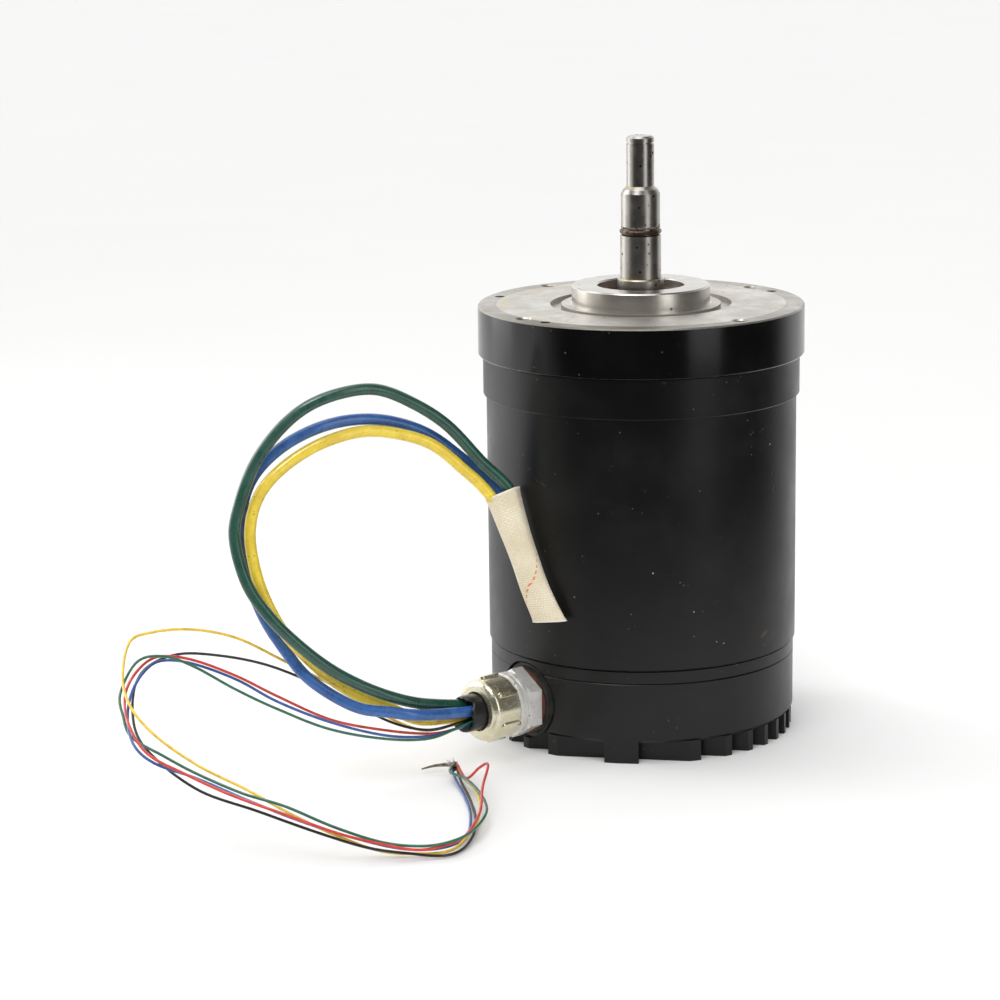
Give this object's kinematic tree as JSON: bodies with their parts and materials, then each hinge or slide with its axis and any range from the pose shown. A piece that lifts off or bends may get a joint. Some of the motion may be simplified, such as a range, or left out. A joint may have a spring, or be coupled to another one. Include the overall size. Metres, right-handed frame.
{
  "type": "electric motor",
  "caption": "Round brushless electric motor with a stepped shaft, a pilot boss, a finned rear cap and a side cable gland with loose leads.",
  "frame": {"origin": "centre of the pad under the rear cap, on the surface the motor stands on, on the shaft axis", "axes": "+Z along the shaft axis, towards the shaft's free end; the cable gland points towards -X and -Y"},
  "size_m": [0.2395, 0.2256, 0.2207],
  "materials": {
    "machined_face": "machined, stained",
    "black_paint": "semi-gloss, dusty and nicked",
    "dark_screw": "blackened",
    "black_rubber": "matt",
    "seal_rubber": "matt, oily",
    "spring_steel": "satin",
    "bearing_steel": "ground",
    "cage_brass": "satin",
    "lamination": "stacked laminations",
    "bobbin_plastic": "matt",
    "copper_wire": "enamelled copper",
    "board": "solder mask",
    "chip_plastic": "matt",
    "shaft_steel": "ground, pitted and rusty in spots",
    "ring_steel": "rusty",
    "magnet": "nickel-plated",
    "band": "wound fibre",
    "washer_fibre": "matt",
    "gland_metal": "satin",
    "nut_nickel": "nickel-plated, worn",
    "jacket": "matt",
    "lead_green": "glossy, dirty",
    "lead_blue": "glossy, dirty",
    "lead_yellow": "glossy, dirty",
    "sleeve_cloth": "woven fibre sleeve",
    "wire_yellow": "satin",
    "wire_black": "satin",
    "wire_red": "satin",
    "wire_blue": "satin",
    "wire_green": "satin",
    "tinned_copper": "twisted strands"
  },
  "bodies": {
    "stator": {"front_end_bell": "machined_face", "housing_can": "black_paint", "rear_cap": "black_paint", "end_bell_screws": "dark_screw", "rear_cap_screws": "dark_screw", "front_oring": "black_rubber", "rear_oring": "black_rubber", "shaft_seal": "seal_rubber", "bearing_snap_ring": "spring_steel", "wave_spring": "spring_steel", "front_bearing_outer": "bearing_steel", "rear_bearing_outer": "bearing_steel", "stator_core": "lamination", "coil_bobbins": "bobbin_plastic", "stator_windings": "copper_wire", "sensor_board": "board", "position_sensors": "chip_plastic", "gland_ring": "black_rubber", "sealing_washer": "washer_fibre", "gland_body": "gland_metal", "gland_nut": "nut_nickel", "gland_seal": "black_rubber", "cable_jacket": "jacket", "lead_green": "lead_green", "lead_blue": "lead_blue", "lead_yellow": "lead_yellow", "lead_sleeve": "sleeve_cloth", "wire_yellow": "wire_yellow", "wire_black": "wire_black", "wire_red": "wire_red", "wire_blue": "wire_blue", "wire_green": "wire_green", "wire_ends": "tinned_copper"},
    "rotor": {"shaft": "shaft_steel", "shaft_ring": "ring_steel", "rotor_core": "lamination", "rotor_magnets": "magnet", "rotor_band": "band", "sensor_magnet": "magnet", "front_bearing_inner": "bearing_steel", "rear_bearing_inner": "bearing_steel"},
    "front_ball_set": {"front_bearing_balls": "bearing_steel", "front_bearing_cage": "cage_brass"},
    "rear_ball_set": {"rear_bearing_balls": "bearing_steel", "rear_bearing_cage": "cage_brass"}
  },
  "joints": [
    {"name": "shaft_spin", "type": "hinge", "parent": "stator", "child": "rotor", "pos_m": [0, 0, 0.15], "axis": [0, 0, 1], "continuous": true},
    {"name": "front_balls_spin", "type": "hinge", "parent": "stator", "child": "front_ball_set", "pos_m": [0, 0, 0.144], "axis": [0, 0, 1], "continuous": true},
    {"name": "rear_balls_spin", "type": "hinge", "parent": "stator", "child": "rear_ball_set", "pos_m": [0, 0, 0.0215], "axis": [0, 0, 1], "continuous": true}
  ],
  "couplings": [
    {"joint": "front_balls_spin", "follows": "shaft_spin", "ratio": 0.4154},
    {"joint": "rear_balls_spin", "follows": "shaft_spin", "ratio": 0.388}
  ]
}
